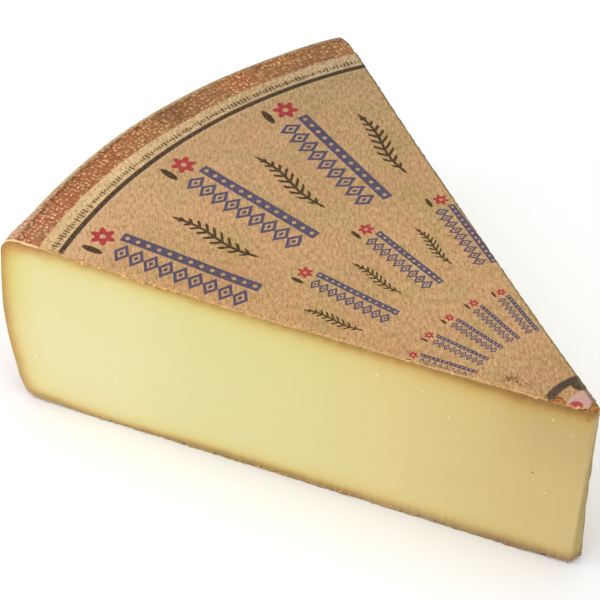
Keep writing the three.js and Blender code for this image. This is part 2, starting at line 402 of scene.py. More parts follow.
def thread_streaks(tree, spot):
    """Fine uneven streaks along the pressing cloth's threads, about 0.5 on the whole."""
    along = add(tree, "ShaderNodeVectorRotate", {"Vector": spot, "Angle": THREAD_DIRECTION},
                rotation_type="Z_AXIS")
    along = add(tree, VECTOR, [along, (1.0, 0.3, 1.0)], operation="MULTIPLY")
    return add(tree, NOISE, {"Vector": along, "Scale": 0.88, "Detail": 3.0, "Roughness": 0.7})


def rind_material():
    """Washed rind, pressed in a cloth: firm, matt, red-brown to ochre, darker towards the far cut as painted
    shade, with a lighter bead at each mesh, a dry grey bloom down the heel, and bare orange skin where the
    label is torn off."""
    material, tree = new_material("washed_cheese_rind")
    place = wheel_place(tree)
    spot, radius, degrees, z = place["spot"], place["radius"], place["degrees"], place["z"]
    skin = add(tree, "ShaderNodeUVMap", uv_map=SKIN_UV)
    skin = add(tree, VECTOR, {0: skin, "Scale": 1 / MM}, operation="SCALE")
    bead, strength = cloth_imprint(tree, skin, RIND_BEAD_PITCH, 0.47, 0.6, 1.5)
    # The colour varies in uneven patches and darkens towards the far cut; that darkening is painted shade
    patches = add(tree, NOISE, {"Vector": spot, "Scale": 0.035, "Detail": 4.0, "Roughness": 0.6})
    across = add(tree, MATH, [place["turn"], 0.25, patches], operation="MULTIPLY_ADD")
    colour = add(tree, RAMP, [across], stops=(
        (0.44, "#a9623f"), (0.54, "#a8603d"), (0.59, "#a96c43"), (0.64, "#a26c48"), (0.7, "#986447"),
        (0.78, "#835539")))
    # The bloom starts in the top corner, a little further out on the far side, and thins out at the foot
    narrower = overlap(tree, (degrees, 3.0, 22.0, 0.6, -1.1))
    outward = add(tree, MATH, [radius, narrower], operation="ADD")
    in_corner = overlap(tree, (outward, BLOOM_EDGE + 0.2, BLOOM_EDGE + 2.2))
    at_heel = combined(tree, in_corner, overlap(tree, (z, 88.0, 80.0)))
    bloom = overlap(tree, blotches(tree, spot, 0.25, 5.0, 0.7, 0.36, 0.58, 0.3, 1.0), at_heel,
                    (z, 1.0, 4.0, 0.2, 1.0), (degrees, 0.0, 6.0, 0.6, 1.0))
    # The bloom darkens towards the far cut: painted shade
    dust_and_shade = overlaid(tree, linear("#cbb592"), (overlap(tree, (degrees, 20.0, 36.0)), "#a68a68"))
    light = overlap(tree, (strength, 0.05, 1.0, 0.15, 1.0), bead)
    wear_and_shade = add(tree, RAMP, [across], stops=((0.44, "#f8c6a4"), (0.6, "#f0c092"), (0.75, "#d0a273")))
    pits = blotches(tree, spot, 0.7, 3.0, 0.65, 0.52, 0.64, 0.0, 0.75)
    # Dry dark bits are scraped up along the corner
    corner = apart(tree, outward, BLOOM_EDGE)
    dark = overlap(tree, blotches(tree, spot, 0.5, 3.0, 0.6, 0.45, 0.62, 0.1, 1.0),
                   (corner, 0.5, 2.4, 0.9, 0.0), (degrees, 14.0, 30.0, 1.0, 0.45))
    colour = overlaid(tree, colour, (bloom, dust_and_shade), (light, wear_and_shade), (pits, "#6d3f24"), (dark, "#573019"))
    browner = overlap(tree, (degrees, 3.0, 9.0))
    colour = overlaid(tree, colour, (browner, "#eff2dc"), blend="MULTIPLY")
    # A pale line where the knife went in, and the bare skin at the point
    knife_edge = overlap(tree, (from_cut(tree, place, near_normal), -1.9, -0.9, 0.0, 0.92))
    bare = overlap(tree, (radius, 45.0, 50.0, 1.0, 0.0))
    orange = add(tree, NOISE, {"Vector": spot, "Scale": 0.5, "Detail": 4.0, "Roughness": 0.6})
    orange = add(tree, RAMP, [orange], stops=((0.35, "#9a6430"), (0.5, "#b87c3c"), (0.65, "#cf9a55")))
    colour = overlaid(tree, colour, (knife_edge, "#efcb95"), (bare, orange))
    lift = add(tree, MATH, [strength, 0.10, 0.08], operation="MULTIPLY_ADD")
    end_material(tree, {"Base Color": colour, "Roughness": 0.72, "IOR": 1.45, "Specular IOR Level": 0.3},
                 overlap(tree, lift, bead))
    return material


# The print. Each row holds a frieze of hollow lozenges over a slate bar, with a red rosette at its outer end,
# and a dark fern sprig half way to the next. Pitches and starts are degrees, and the motifs' lengths are
# millimetres in a row of size 1.

PRINT_ROWS = (
    {"radius": 212.0, "pitch": 14.6, "start": 4.2, "size": 1.0, "sprigs": True},
    {"radius": 136.0, "pitch": 15.0, "start": 12.5, "size": 0.62, "sprigs": True},
    {"radius": 77.0, "pitch": 9.4, "start": 2.5, "size": 0.38, "sprigs": False},
)
BAR_HALF_LENGTH, BAR_HALF_WIDTH, BAR_ASIDE, BAR_LOZENGE = 36.4, 2.8, 5.9, 1.35
FRIEZE_HALF_LENGTH, FRIEZE_HALF_WIDTH, FRIEZE_ASIDE = 35.1, 6.2, -4.4
LOZENGE_HALF_PITCH = 3.9
ROSETTE_OUT, ROSETTE_ASIDE, ROSETTE_RADIUS, ROSETTE_HEART = 44.5, 1.5, 6.4, 1.5
PETALS, PETAL_DEPTH = 6, 1.3
LEAF_ASIDE, LEAF_LENGTH, LEAF_WIDTH = -8.8, 5.5, 1.9
SPRIG_HALF_LENGTH, SPRIG_HALF_WIDTH, SPRIG_HALF_PITCH, SPRIG_BEND = 25.0, 4.8, 2.4, 1.3

# Millimetres by which the printed rim is drawn inwards, by turn in degrees
RIM_STRAY = ((0.0, 8.0, 0.35, 0.55), (14.0, 23.0, 0.0, -1.0), (26.0, 31.0, 0.0, 0.3), (36.0, 43.0, 0.0, 0.75))
TICK_PITCH = 1.9
TICKS_INNER, TICKS_OUTER = 272.1, 274.7
EMBLEM_INNER, EMBLEM_OUTER = 25.3, 29.7
EMBLEM_END, EMBLEM_END_RADIUS = (-22.6, 8.6, 0.0), 4.8
PINK_RADIUS = 19.8
RED_DOT, RED_DOT_RADIUS = (-14.3, -4.2, 0.0), 3.1
DIRT_PLACE = (-46.0, -11.2, 0.0)


def row_cell(tree, place, row, start):
    """Millimetres out from and across the middle of the row's nearest motif, at the row's size."""
    pitch = math.radians(row["pitch"])
    turn = add(tree, MATH, [place["turn"], math.radians(start)], operation="SUBTRACT")
    turn = add(tree, MATH, [turn, pitch / 2, -pitch / 2], operation="WRAP")
    out = add(tree, MATH, [turn], operation="COSINE")
    out = add(tree, MATH, [place["radius"], out], operation="MULTIPLY")
    out = add(tree, MATH, [out, row["radius"]], operation="SUBTRACT")
    out = add(tree, MATH, [out, row["size"]], operation="DIVIDE")
    across = add(tree, MATH, [turn], operation="SINE")
    across = add(tree, MATH, [place["radius"], across], operation="MULTIPLY")
    across = add(tree, MATH, [across, row["size"]], operation="DIVIDE")
    return out, across


def within(tree, value, edge, soft=0.18):
    """1 where value is under edge, 0 where it is over, with a soft ink edge between."""
    return overlap(tree, (value, edge - soft, edge + soft, 1.0, 0.0))


def slate_print(tree, out, across):
    """The hollow lozenges and the bar with its pale lozenges."""
    length = add(tree, MATH, [out], operation="ABSOLUTE")
    aside = apart(tree, across, BAR_ASIDE)
    bar = overlap(tree, within(tree, length, BAR_HALF_LENGTH), within(tree, aside, BAR_HALF_WIDTH))
    link = add(tree, MATH, [out, BAR_HALF_WIDTH], operation="PINGPONG")
    gap = add(tree, MATH, [link, aside], operation="ADD")
    bar = add(tree, MATH, [bar, within(tree, gap, BAR_LOZENGE)], operation="SUBTRACT", use_clamp=True)
    aside = apart(tree, across, FRIEZE_ASIDE)
    aside = add(tree, MATH, [aside, LOZENGE_HALF_PITCH / FRIEZE_HALF_WIDTH], operation="MULTIPLY")
    link = add(tree, MATH, [out, LOZENGE_HALF_PITCH], operation="PINGPONG")
    lozenge = add(tree, MATH, [link, aside], operation="ADD")
    outline = within(tree, apart(tree, lozenge, LOZENGE_HALF_PITCH * 0.8), LOZENGE_HALF_PITCH * 0.24)
    heart = within(tree, lozenge, LOZENGE_HALF_PITCH * 0.28)
    frieze = overlap(tree, combined(tree, outline, heart), within(tree, length, FRIEZE_HALF_LENGTH))
    return combined(tree, bar, frieze)


def rosette_print(tree, out, across):
    """A red flower with six petals and an open middle."""
    spot = add(tree, "ShaderNodeCombineXYZ", [out, across])
    spot = add(tree, VECTOR, [spot, (ROSETTE_OUT, ROSETTE_ASIDE, 0.0)], operation="SUBTRACT")
    reach = add(tree, VECTOR, [spot], out="Value", operation="LENGTH")
    x, y, _ = add(tree, "ShaderNodeSeparateXYZ", [spot]).node.outputs
    turn = add(tree, MATH, [y, x], operation="ARCTAN2")
    turn = add(tree, MATH, [turn, PETALS], operation="MULTIPLY")
    petals = add(tree, MATH, [turn], operation="COSINE")
    petals = add(tree, MATH, [petals, -PETAL_DEPTH, reach], operation="MULTIPLY_ADD")
    flower = within(tree, petals, ROSETTE_RADIUS - PETAL_DEPTH)
    return add(tree, MATH, [flower, within(tree, reach, ROSETTE_HEART)], operation="SUBTRACT", use_clamp=True)


def leaf_print(tree, out, across):
    """A dark leaf beside the flower."""
    spot = add(tree, "ShaderNodeCombineXYZ", [out, across])
    spot = add(tree, VECTOR, [spot, (ROSETTE_OUT, LEAF_ASIDE, 0.0)], operation="SUBTRACT")
    spot = add(tree, VECTOR, [spot, (LEAF_WIDTH / LEAF_LENGTH, 1.0, 0.0)], operation="MULTIPLY")
    reach = add(tree, VECTOR, [spot], out="Value", operation="LENGTH")
    return within(tree, reach, LEAF_WIDTH)


def sprig_print(tree, out, across):
    """A fern sprig: a waving stem with slanted leaves that shorten towards both ends."""
    bend = add(tree, MATH, [out, 1 / 7], operation="MULTIPLY")
    bend = add(tree, MATH, [bend], operation="SINE")
    aside = add(tree, MATH, [bend, -SPRIG_BEND, across], operation="MULTIPLY_ADD")
    aside = add(tree, MATH, [aside], operation="ABSOLUTE")
    along = add(tree, MATH, [out, 1 / SPRIG_HALF_LENGTH], operation="MULTIPLY")
    taper = add(tree, MATH, [along, along], operation="MULTIPLY")
    taper = add(tree, MATH, [taper, -SPRIG_HALF_WIDTH, SPRIG_HALF_WIDTH], operation="MULTIPLY_ADD")
    over = add(tree, MATH, [aside, taper], operation="SUBTRACT")
    slant = add(tree, MATH, [aside, -0.9, out], operation="MULTIPLY_ADD")
    leaf = add(tree, MATH, [slant, SPRIG_HALF_PITCH], operation="PINGPONG")
    drawn = combined(tree, within(tree, leaf, 1.05), within(tree, aside, 0.75))
    return overlap(tree, drawn, within(tree, over, 0.0))


def ring_mask(tree, radius, inner, outer, soft=0.2):
    return within(tree, apart(tree, radius, (inner + outer) / 2), (outer - inner) / 2, soft)


def disc_mask(tree, place, middle, radius):
    reach = add(tree, VECTOR, [place["flat"], middle], out="Value", operation="DISTANCE")
    return within(tree, reach, radius, 0.3)


def fine_ticks(tree, place, radius):
    """A border of fine crooked ticks, some long, some short and some missing."""
    shake = add(tree, NOISE, {"Vector": place["spot"], "Scale": 0.9, "Detail": 2.0}, out="Color")
    shake = add(tree, VECTOR, [shake, (0.5, 0.5, 0.5)], operation="SUBTRACT")
    aside, out, _ = add(tree, "ShaderNodeSeparateXYZ", [shake]).node.outputs
    count = add(tree, MATH, [place["turn"], TICKS_INNER / TICK_PITCH], operation="MULTIPLY")
    count = add(tree, MATH, [aside, 0.9, count], operation="MULTIPLY_ADD")
    share = add(tree, MATH, [count], operation="FRACT")
    count = add(tree, MATH, [count], operation="FLOOR")
    size = add(tree, "ShaderNodeTexWhiteNoise", {1: count}, noise_dimensions="1D")
    off = add(tree, MATH, [radius, (TICKS_INNER + TICKS_OUTER) / 2], operation="SUBTRACT")
    off = add(tree, MATH, [out, 3.0, off], operation="MULTIPLY_ADD")
    off = add(tree, MATH, [off], operation="ABSOLUTE")
    off = add(tree, MATH, [size, -1.5, off], operation="MULTIPLY_ADD")
    return overlap(tree, within(tree, apart(tree, share, 0.5), 0.3, 0.17), within(tree, off, 0.4, 0.45))


# The label's paper


def stained_paper(tree, place, rim_radius, bead, strength):
    """Tan paper, stained by the moist rind: pinker at the heel's near corner and paler there as painted
    light, dull near the point and cream on its rim, with the cloth's beads and threads, warm and dull fibres
    and dark specks."""
    spot, radius, degrees = place["spot"], place["radius"], place["degrees"]
    mottle = add(tree, NOISE, {"Vector": spot, "Scale": 0.045, "Detail": 6.0, "Roughness": 0.62})
    paper = add(tree, RAMP, [mottle], stops=(
        (0.36, "#ac8f5c"), (0.43, "#b1925f"), (0.5, "#b79066"), (0.57, "#be9166"), (0.64, "#c2976b")))
    pinker = overlap(tree, (radius, 200.0, 262.0, 0.0, 0.6), (degrees, 0.0, 38.0, 1.0, 0.2))
    # Paler at the heel's near corner, nearest the front lamp: painted light
    lit_paler = overlap(tree, (radius, 244.0, 262.0, 0.0, 0.5), (degrees, 3.0, 9.0, 1.0, 0.0))
    by_point = overlap(tree, (radius, 30.0, 62.0, 0.7, 0.0))
    paper = overlaid(tree, paper, (pinker, "#cfa381"), (lit_paler, "#e2bd98"), (by_point, "#a17b54"))
    around = add(tree, MATH, [place["turn"], WEDGE_ANGLE], operation="DIVIDE")
    cream = add(tree, RAMP, [around], stops=(
        (0.1, "#d7b688"), (0.3, "#d3b183"), (0.5, "#caa779"), (0.75, "#c19d70"), (0.95, "#c8a57e")))
    inside_rim = within(tree, rim_radius, RING_OUTER + 0.3, 0.3)
    halo = overlap(tree, ring_mask(tree, rim_radius, RING_INNER - 1.1, RING_OUTER + 1.5, 0.3), 0.45)
    paper = overlaid(tree, cream, (inside_rim, paper), (halo, "#cdb092"))
    patches = blotches(tree, spot, 0.03, 2.0, 0.5, 0.38, 0.62, 0.12, 0.75)
    patches = add(tree, MIX, {0: inside_rim, 2: 1.4, 3: patches}, out="Result")
    light = overlap(tree, strength, bead, patches)
    beads = overlaid(tree, linear("#f2d9a8"), (inside_rim, "#e6c48f"))
    threads = thread_streaks(tree, place["flat"])
    dark = overlap(tree, (threads, 0.52, 0.36, 0.0, 0.7))
    pale = overlap(tree, (threads, 0.5, 0.66, 0.0, 0.65))
    fibres = add(tree, NOISE, {"Vector": spot, "Scale": 0.5, "Detail": 5.0, "Roughness": 0.75})
    warm = overlap(tree, (fibres, 0.5, 0.66, 0.0, 0.5))
    dull = overlap(tree, (fibres, 0.5, 0.36, 0.0, 0.38))
    specks = blotches(tree, spot, 0.8, 2.0, 0.5, 0.67, 0.71, 0.0, 0.6)
    return overlaid(tree, paper, (light, beads), (dark, "#94703f"), (pale, "#d9af80"), (warm, "#d29b74"),
                    (dull, "#a5905a"), (specks, "#76512c"))


def printed(tree, place, rim_radius, paper):
    """The paper with its inks, a little worn."""
    slate, red, brown = [], [], []
    for row in PRINT_ROWS:
        cell = row_cell(tree, place, row, row["start"])
        slate.append(slate_print(tree, *cell))
        red.append(rosette_print(tree, *cell))
        brown.append(leaf_print(tree, *cell))
        if row["sprigs"]:
            cell = row_cell(tree, place, row, row["start"] + row["pitch"] / 2)
            brown.append(sprig_print(tree, *cell))
    brown.append(ring_mask(tree, rim_radius, RING_INNER, RING_OUTER))
    emblem = combined(tree, ring_mask(tree, place["radius"], EMBLEM_INNER, EMBLEM_OUTER, 0.4),
                      disc_mask(tree, place, EMBLEM_END, EMBLEM_END_RADIUS))
    wear = blotches(tree, place["spot"], 0.7, 4.0, 0.7, 0.34, 0.66, 0.99, 0.82)
    inks = (
        (fine_ticks(tree, place, rim_radius), "#4a381f"),
        (combined(tree, *slate), "#403f5f"),
        (combined(tree, *red), "#a42234"),
        (combined(tree, *brown), "#30210f"),
        (disc_mask(tree, place, (0.0, 0.0, 0.0), PINK_RADIUS), "#c09a90"),
        (disc_mask(tree, place, RED_DOT, RED_DOT_RADIUS), "#a8283c"),
        (emblem, "#3a302b"),
    )
    return overlaid(tree, paper, *((overlap(tree, mask, wear), ink) for mask, ink in inks))


def handled_and_shaded(tree, place, paper):
    """The paper as the knife and handling left it, with painted shade in the heel's far corner, and how far
    its fibres are rubbed up.
    """
    spot, radius, degrees = place["spot"], place["radius"], place["degrees"]
    # Rubbed and bruised fibres along the near cut
    from_near = from_cut(tree, place, near_normal)
    by_cut = overlap(tree, (from_near, -4.0, -0.8))
    rubbed = overlap(tree, blotches(tree, spot, 0.55, 3.0, 0.6, 0.48, 0.6, 0.0, 0.85), by_cut)
    rubbed = combined(tree, rubbed, overlap(tree, (from_near, -1.2, -0.5, 0.0, 0.7)))
    bruised = add(tree, NOISE, {"Vector": spot, "Scale": 0.6, "Detail": 3.0, "Roughness": 0.65, "W": 3.0},
                  noise_dimensions="4D")
    bruised = overlap(tree, (bruised, 0.52, 0.62, 0.0, 0.55), by_cut)
    # The outer edge is frayed, and the rind shows through it
    frayed = add(tree, NOISE, {"Vector": spot, "Scale": 0.5, "Detail": 4.0, "Roughness": 0.65})
    frayed = add(tree, MATH, [frayed, 5.0, radius], operation="MULTIPLY_ADD")
    frayed = overlap(tree, (frayed, LABEL_RADIUS + 1.8, LABEL_RADIUS + 2.6, 0.0, 0.8))
    # A dark edge along the far cut, wider by the point
    wider = overlap(tree, (radius, 30.0, 24.0, 0.0, 1.1))
    far_edge = add(tree, MATH, [from_cut(tree, place, far_normal), wider], operation="ADD")
    far_edge = overlap(tree, (far_edge, -1.2, -0.3, 0.0, 0.75))
    paper = overlaid(tree, paper, (rubbed, "#e6bb82"), (bruised, "#936739"), (frayed, "#a06a43"),
                     (far_edge, "#6a5c42"))
    # A little yellower by the near cut, and darker in the heel's far corner as painted shade
    near_side = overlap(tree, (degrees, 4.0, 12.0, 1.0, 0.0))
    far_corner_shade = overlap(tree, (degrees, 14.0, 38.0), (radius, 150.0, 270.0))
    paper = overlaid(tree, paper, (near_side, "#fcfaf4"), (far_corner_shade, "#e5ebf0"), blend="MULTIPLY")
    # A crumbly brown smear close to the point, longer along the cut than across it
    smeared = add(tree, VECTOR, [place["flat"], DIRT_PLACE], operation="SUBTRACT")
    along = add(tree, VECTOR, [smeared, near_along * 0.42], out="Value", operation="DOT_PRODUCT")
    across = add(tree, VECTOR, [smeared, near_normal], out="Value", operation="DOT_PRODUCT")
    reach = add(tree, "ShaderNodeCombineXYZ", [along, across])
    reach = add(tree, VECTOR, [reach], out="Value", operation="LENGTH")
    reach = overlap(tree, (reach, 0.5, 4.5, 0.24, -0.08))
    dirt = add(tree, NOISE, {"Vector": spot, "Scale": 0.75, "Detail": 4.0, "Roughness": 0.65})
    dirt = add(tree, MATH, [dirt, reach], operation="ADD")
    dirt = overlap(tree, (dirt, 0.6, 0.76, 0.0, 0.85))
    return overlaid(tree, paper, (dirt, "#8a6238")), rubbed


def label_material():
    """Casein-glued paper, printed in a few inks: matt, tan and mottled by the moist rind under it, with the
    weave of the pressing cloth showing through and rubbed flecks along the near cut."""
    material, tree = new_material("printed_label_paper")
    place = wheel_place(tree)
    bead, strength = cloth_imprint(tree, place["flat"], LABEL_BEAD_PITCH, 0.56, 0.15, 1.4)
    rim_radius = place["radius"]
    for start, end, at_start, at_end in RIM_STRAY:
        stray = add(tree, RANGE, [place["degrees"], start, end, at_start, at_end],
                    interpolation_type="SMOOTHSTEP")
        rim_radius = add(tree, MATH, [rim_radius, stray], operation="ADD")
    paper = stained_paper(tree, place, rim_radius, bead, strength)
    paper = printed(tree, place, rim_radius, paper)
    paper, rubbed = handled_and_shaded(tree, place, paper)
    lift = add(tree, MATH, [strength, 0.06, 0.05], operation="MULTIPLY_ADD")
    lift = add(tree, MATH, [rubbed, 0.25, overlap(tree, lift, bead)], operation="MULTIPLY_ADD")
    end_material(tree, {"Base Color": paper, "Roughness": 0.8, "IOR": 1.45, "Specular IOR Level": 0.25}, lift)
    return material


# Small pieces and the floor


def torn_paper_material():
    """Torn and cut edges of the label: raw paper core, lighter and rougher than its printed face."""
    material, tree = new_material("torn_paper_core")
    spot = wheel_place(tree)["spot"]
    fibres = add(tree, NOISE, {"Vector": spot, "Scale": 0.9, "Detail": 4.0, "Roughness": 0.7})
    colour = add(tree, RAMP, [fibres], stops=(
        (0.36, "#94642f"), (0.46, "#cb9454"), (0.56, "#e4b475"), (0.66, "#f2d59c")))
    end_material(tree, {"Base Color": colour, "Roughness": 0.85})
    return material


def crystal_material():
    """Ripening crystals: hard grains with a slight shine, a little paler than the paste that they sit in."""
    material, tree = new_material("ripening_crystal")
    outward = add(tree, MATH, [wheel_place(tree)["radius"], WHEEL_RADIUS], operation="DIVIDE")
    colour = add(tree, RAMP, [outward], stops=((0.1, "#e8daa4"), (0.35, "#f1e6b2"), (0.7, "#f8f1c4")))
    end_material(tree, {"Base Color": colour, "Roughness": 0.4, "Specular IOR Level": 0.5})
    return material


def crumb_material():
    """Crumbs scraped off the rind by the knife: dry, dull and dark brown."""
    material, tree = new_material("dry_rind_crumb")
    end_material(tree, {"Base Color": linear("#7a5a38"), "Roughness": 0.9})
    return material


def floor_material():
    """Matt white board: plain, so that only the cheese shows."""
    material, tree = new_material("matt_white_board")
    end_material(tree, {"Base Color": linear("#fafbfd"), "Roughness": 0.9})
    return material


# The cheese

SPIN_START = 2.5
HEEL_STEPS = 288
HEEL_STEP = 0.8


def section_outline():
    """The wedge's upright section at a cut, as (radius, height): base, heel, top corner and top."""
    points = [(r, 0.0) for r in steps(SPIN_START, BASE_CORNER_START, 24)]
    for turn in steps(0.0, math.pi / 2, 8):
        radius = BASE_CORNER_START + BASE_CORNER_REACH * math.sin(turn)
        points.append((radius, BASE_CORNER_HEIGHT * (1 - math.cos(turn))))
    rows = round((TOP_CORNER_Z - BASE_CORNER_HEIGHT) / HEEL_STEP)
    points += [(heel_radius(z), z) for z in steps(BASE_CORNER_HEIGHT, TOP_CORNER_Z, rows)]
    for turn in steps(0.0, math.pi / 2, 16):
        radius = FLAT_TOP_RADIUS + TOP_CORNER_RADIUS * math.cos(turn)
        points.append((radius, TOP_CORNER_Z + TOP_CORNER_RADIUS * math.sin(turn)))
    points += [(r, top_height(r)) for r in steps(FLAT_TOP_RADIUS, LABEL_RADIUS - 3, 18)]
    points += [(r, top_height(r)) for r in steps(LABEL_RADIUS - 3, SPIN_START, 24)]
    points.append((SPIN_START, top_height(SPIN_START)))
    return points


RIND_FACE, PASTE_FACE = 0, 1
EDGE_ROWS = (0.35, 0.8, 1.4, 2.2, 3.2, 4.6, 6.5, 9.0)
ROWS = [*EDGE_ROWS, *steps(13.0, 90.0, 14), *(RIND_HEIGHT - TOP_DISH - e for e in reversed(EDGE_ROWS))]
FINE_BELOW, FINE_ABOVE = 3.2, 94.0


def slice_faces(bm, faces, points, normal):
    """Slices flat faces at each point in turn along a direction, and gives all the slices."""
    done = []
    for point in points:
        parts = [part for face in faces for part in (face, *face.edges, *face.verts)]
        parts = list(dict.fromkeys(parts))  # each once, in the same order each run
        cut = bmesh.ops.bisect_plane(bm, geom=parts, dist=1e-5, plane_co=point, plane_no=normal)
        faces = [g for g in cut["geom"] if isinstance(g, bmesh.types.BMFace)]
        done += [f for f in faces if (f.calc_center_median() - point).dot(normal) < 0]
        faces = [f for f in faces if (f.calc_center_median() - point).dot(normal) >= 0]
    return done + faces


def grid_cut(bm, face, along, fine, coarse):
    """Lays a grid over a flat cut, finer near the base and the top, where the knife leaves a ragged edge."""
    rows = slice_faces(bm, [face], [Vector((0, 0, z)) for z in ROWS], Vector((0, 0, 1)))
    edge = [f for f in rows if not FINE_BELOW < f.calc_center_median().z < FINE_ABOVE]
    middle = [f for f in rows if f not in set(edge)]
    slice_faces(bm, edge, [along * r for r in fine], along)
    slice_faces(bm, middle, [along * r for r in coarse], along)


def make_cheese():
    bm = bmesh.new()
    corners = [bm.verts.new(near_along * r + Vector((0, 0, z))) for r, z in section_outline()]
    section = bm.faces.new(corners)
    bmesh.ops.spin(bm, geom=[section, *section.edges, *section.verts], cent=(0, 0, 0), axis=(0, 0, 1),
                   angle=FAR_TURN - NEAR_TURN, steps=HEEL_STEPS)
    lean = math.atan2(TIP_SETBACK_BASE - TIP_SETBACK_TOP, RIND_HEIGHT)
    tip = bmesh.ops.bisect_plane(
        bm, geom=[*bm.verts, *bm.edges, *bm.faces], dist=1e-5, clear_outer=True,
        plane_co=(-(TIP_SETBACK_TOP + TIP_SETBACK_BASE) / 2, 0, RIND_HEIGHT / 2),
        plane_no=(math.cos(lean), 0, -math.sin(lean)))
    rim = [g for g in tip["geom_cut"] if isinstance(g, bmesh.types.BMEdge)]
    bmesh.ops.contextual_create(bm, geom=rim)
    bmesh.ops.recalc_face_normals(bm, faces=bm.faces)
    for face in bm.faces:
        upright = abs(face.normal.z) < 0.2
        face.material_index = PASTE_FACE if upright and face.normal.x > 0.1 else RIND_FACE
    cuts = [f for f in bm.faces if f.material_index == PASTE_FACE]
    for face in cuts:
        if face.normal.x > 0.9:
            grid_cut(bm, face, Vector((0, 1, 0)), steps(-3.0, 3.0, 9), steps(-3.0, 3.0, 6))
        else:
            along = near_along if face.normal.y < 0 else far_along
            grid_cut(bm, face, along, steps(8.0, 298.0, 300), steps(9.0, 297.0, 120))
    return bm


def skin_places(bm):
    """Gives each rind corner its place on the unrolled skin, in metres: round the heel and up it."""
    layer = bm.loops.layers.uv.new(SKIN_UV)
    for face in bm.faces:
        for loop in face.loops:
            x, y, z = loop.vert.co
            radius = math.hypot(x, y)
            turn = NEAR_TURN - math.atan2(y, x) % math.tau
            if face.normal.z < -0.8:
                loop[layer].uv = (x * MM, y * MM)
            else:
                up = z + max(0.0, WHEEL_RADIUS - radius) * smoothstep(z, 60, 90)
                loop[layer].uv = (turn * WHEEL_RADIUS * MM, up * MM)


def roughness_at(place, size, seed):
    """Smooth noise from about -1 to 1 with features of this size in millimetres."""
    return noise.noise(Vector(place) / size + Vector((seed, seed * 1.7, seed * 0.6)))


BASE_BURR_REACH, TOP_BURR_REACH = 3.4, 2.4  # how far from the base and from the top the cut is ragged
BASE_BURR, BASE_DENT, TOP_BURR = 0.6, 1.3, 0.4
CUT_WAVE = 0.12
POINT_WEAR, POINT_NOTCH = 0.9, 1.1


def fray(bm):
    """Burrs and dents where the knife went in at the top and out at the base, and a worn blunt point."""
    for vert in bm.verts:
        place = vert.co.copy()
        radius = math.hypot(place.x, place.y)
        if radius > WHEEL_RADIUS - 1:
            continue
        from_top = top_height(radius) - place.z
        for normal, along, seed in ((near_normal, near_along, 3.0), (far_normal, far_along, 11.0)):
            if abs(place.dot(normal)) > 0.01:
                continue
            rho = place.dot(along)
            if place.z < BASE_BURR_REACH:
                burr = roughness_at((rho, 0, place.z * 1.5), 2.6, seed)
                burr += 0.6 * roughness_at((rho, 0, 0), 7.0, seed + 1)
                vert.co += normal * (BASE_BURR * burr + 0.08) * (1 - place.z / BASE_BURR_REACH)
                if place.z < 0.3 and radius < BASE_CORNER_START:
                    dent = roughness_at((rho, 5, 0), 2.6, seed + 2) + 0.12
                    vert.co.z += BASE_DENT * max(0.0, dent)
            elif from_top < TOP_BURR_REACH:
                burr = roughness_at((rho, 0, place.z), 3.2, seed + 4)
                vert.co += normal * TOP_BURR * burr * (1 - from_top / TOP_BURR_REACH)
            else:
                vert.co += normal * CUT_WAVE * roughness_at((rho, 0, place.z * 0.1), 9.0, seed + 6)
        if place.x > -(TIP_SETBACK_BASE + 0.1):
            at_edge = smoothstep(abs(place.y), 1.2, 2.6)
            wear = abs(roughness_at((0, place.y * 2, place.z), 3.5, 21.0))
            notch = abs(roughness_at((0, place.y, place.z), 1.7, 33.0))
            vert.co.x -= (0.15 + POINT_WEAR * wear) * (0.35 + 0.65 * at_edge) + POINT_NOTCH * notch * at_edge
            vert.co.x += POINT_FAR_REACH * smoothstep(place.y, 0.5, 3.0) * (1 - smoothstep(place.z, 0, 45))


def wander(bm):
    """The rind's slow waves, the flat spot near the near cut, the worn base and the rubbed far corner."""
    spot_start, spot_full, spot_fading, spot_end = FLAT_SPOT
    for vert in bm.verts:
        x, y, z = vert.co
        radius = math.hypot(x, y)
        turn = math.atan2(y, x)
        from_near = NEAR_TURN - turn % math.tau
        on_top = smoothstep(z, WIDEST_HEIGHT, TOP_CORNER_Z)
        at_heel = smoothstep(radius, LABEL_RADIUS, WHEEL_RADIUS)
        pressed = smoothstep(from_near, spot_start, spot_full) - smoothstep(from_near, spot_fading, spot_end)
        pressed *= FLAT_SPOT_DEPTH * smoothstep(z, 30, 85)
        bulge = LOWER_HEEL_BULGE * smoothstep(z, 2, 8) * (1 - smoothstep(z, 12, 22))
        grow = 1 + (heel_wave(turn, z) - SKIN_INSET - pressed + bulge) * at_heel / WHEEL_RADIUS
        rise = HEEL_BASE_RISE * smoothstep(radius, 252, 284)
        rise += POINT_BASE_RISE * (1 - smoothstep(radius, 8, 40))
        rise *= 1 - smoothstep(z, 0, 14)
        rubbed = smoothstep(radius, 284, 299) * smoothstep(vert.co.dot(far_normal), -6, 0)
        rubbed *= smoothstep(z, 75, 96)
        vert.co = (x * grow, y * grow, z + rise + top_wave(x, y) * on_top)
        vert.co -= far_normal * FAR_CORNER_CHIP * rubbed


def to_object(bm, name, materials, stands_for=None):
    """A finished piece from a mesh made in millimetres from the wheel's axis."""
    bmesh.ops.transform(bm, matrix=Matrix.Translation(WHEEL_AXIS) @ Matrix.Scale(MM, 4), verts=bm.verts)
    mesh = bpy.data.meshes.new(name)
    for face in bm.faces:
        face.smooth = True
    bm.to_mesh(mesh)
    bm.free()
    piece = bpy.data.objects.new(name, mesh)
    for material in materials:
        mesh.materials.append(material)
    bpy.context.scene.collection.objects.link(piece)
    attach(piece, "root")
    if stands_for:
        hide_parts(stands_for)


